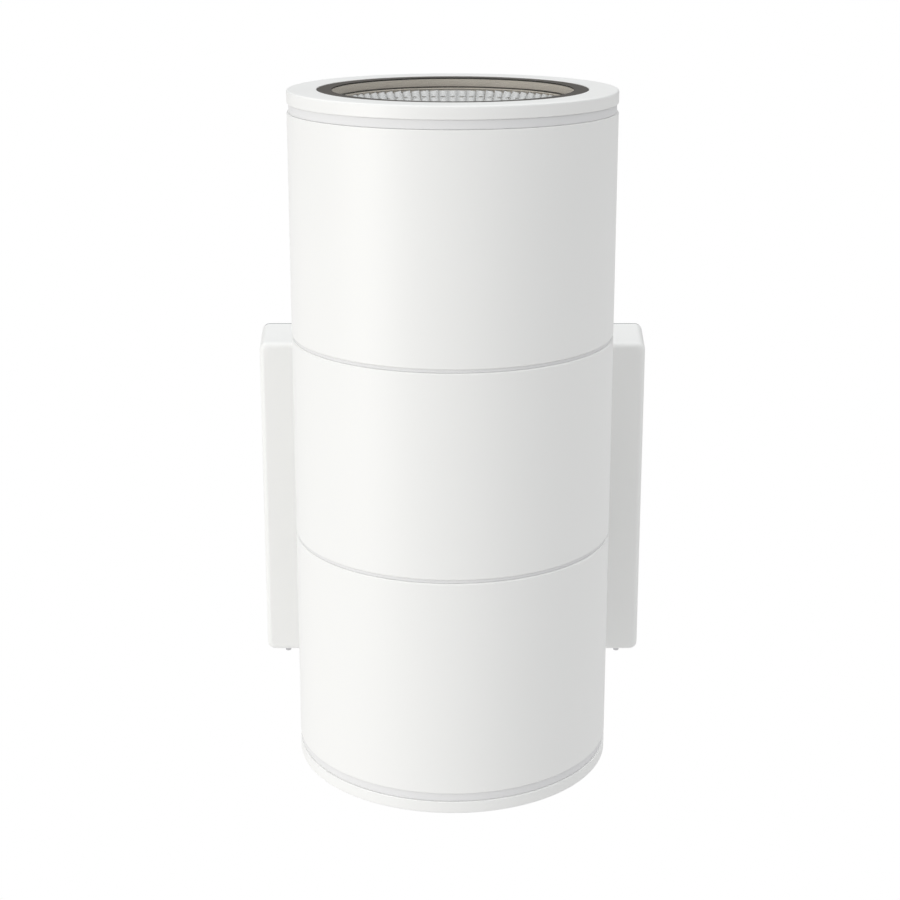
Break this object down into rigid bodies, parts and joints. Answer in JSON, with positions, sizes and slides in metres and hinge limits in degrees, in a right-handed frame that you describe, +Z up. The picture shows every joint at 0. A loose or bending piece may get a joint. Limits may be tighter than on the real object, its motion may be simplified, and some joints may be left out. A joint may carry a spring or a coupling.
{
  "type": "up-and-down wall light",
  "caption": "Cylindrical wall light that shines up and down, with a glass held by a screwed ring at each end and a shallow wall box behind.",
  "frame": {"origin": "middle of the wall plate's back face, which is flush on the wall", "axes": "+Z up along the cylinder, +Y into the wall, +X to the right as seen from the front"},
  "size_m": [0.203, 0.191, 0.322],
  "materials": {
    "white_paint": "satin white powder coat with a fine orange peel",
    "zinc_steel": "zinc-plated sheet",
    "grey_foam": "closed-cell foam",
    "stainless": "stainless, lightly brushed",
    "black_silicone": "matt brown-black silicone",
    "grey_silicone": "matt light grey silicone",
    "terminal_plastic": "natural polyamide",
    "brass": "plain brass",
    "driver_plastic": "fine-grained black polycarbonate",
    "lead_sheath": "silicone-sheathed lead",
    "bare_aluminium": "bare extruded aluminium",
    "thermal_pad": "soft thermal pad",
    "ceramic_board": "white ceramic board",
    "phosphor": "yellow phosphor under clear silicone",
    "holder_plastic": "white heat-resistant plastic",
    "mirror_aluminium": "bright fluted aluminium",
    "champagne_band": "satin warm grey paint",
    "clear_glass": "clear toughened glass"
  },
  "bodies": {
    "fixture": {"wall_plate": "zinc_steel", "box_gasket": "grey_foam", "back_box": "white_paint", "box_screw_left": "stainless", "box_screw_right": "stainless", "cable_grommet": "black_silicone", "terminal_block": "terminal_plastic", "earth_screw": "brass", "driver": "driver_plastic", "driver_screw_left": "stainless", "driver_screw_right": "stainless", "neck_seal": "black_silicone", "neck": "white_paint", "neck_bolt_lower": "stainless", "neck_bolt_upper": "stainless", "middle_body": "white_paint", "lower_lead": "lead_sheath", "upper_lead": "lead_sheath", "upper_housing": "white_paint", "upper_seam_seal": "grey_silicone", "upper_heat_sink": "bare_aluminium", "upper_thermal_pad": "thermal_pad", "upper_led_board": "ceramic_board", "upper_led_emitter": "phosphor", "upper_led_holder": "holder_plastic", "upper_reflector": "mirror_aluminium", "upper_tie_screw_1": "stainless", "upper_tie_screw_2": "stainless", "upper_tie_screw_3": "stainless", "upper_sink_screw_1": "stainless", "upper_sink_screw_2": "stainless", "lower_housing": "white_paint", "lower_seam_seal": "grey_silicone", "lower_heat_sink": "bare_aluminium", "lower_thermal_pad": "thermal_pad", "lower_led_board": "ceramic_board", "lower_led_emitter": "phosphor", "lower_led_holder": "holder_plastic", "lower_reflector": "mirror_aluminium", "lower_tie_screw_1": "stainless", "lower_tie_screw_2": "stainless", "lower_tie_screw_3": "stainless", "lower_sink_screw_1": "stainless", "lower_sink_screw_2": "stainless"},
    "upper_ring": {"upper_glass_seat": "champagne_band", "upper_glass_border": "black_silicone", "upper_glass_seal": "black_silicone", "upper_glass": "clear_glass", "upper_glass_ring": "white_paint"},
    "upper_gasket": {"upper_ring_gasket": "grey_silicone"},
    "lower_ring": {"lower_glass_seat": "champagne_band", "lower_glass_border": "black_silicone", "lower_glass_seal": "black_silicone", "lower_glass": "clear_glass", "lower_glass_ring": "white_paint"},
    "lower_gasket": {"lower_ring_gasket": "grey_silicone"}
  },
  "joints": [
    {"name": "upper_gasket_lift", "type": "slide", "parent": "fixture", "child": "upper_gasket", "axis": [0, 0, 1], "range_m": [0, 0.006]},
    {"name": "upper_ring_turn", "type": "hinge", "parent": "upper_gasket", "child": "upper_ring", "pos_m": [0, -0.116, 0.223], "axis": [0, 0, 1], "range_deg": [0, 720]},
    {"name": "lower_gasket_lift", "type": "slide", "parent": "fixture", "child": "lower_gasket", "axis": [0, 0, -1], "range_m": [0, 0.006]},
    {"name": "lower_ring_turn", "type": "hinge", "parent": "lower_gasket", "child": "lower_ring", "pos_m": [0, -0.116, -0.099], "axis": [0, 0, -1], "range_deg": [0, 720]}
  ],
  "couplings": [
    {"joint": "upper_gasket_lift", "follows": "upper_ring_turn", "m_per_rad": 0.00047746},
    {"joint": "lower_gasket_lift", "follows": "lower_ring_turn", "m_per_rad": 0.00047746}
  ]
}
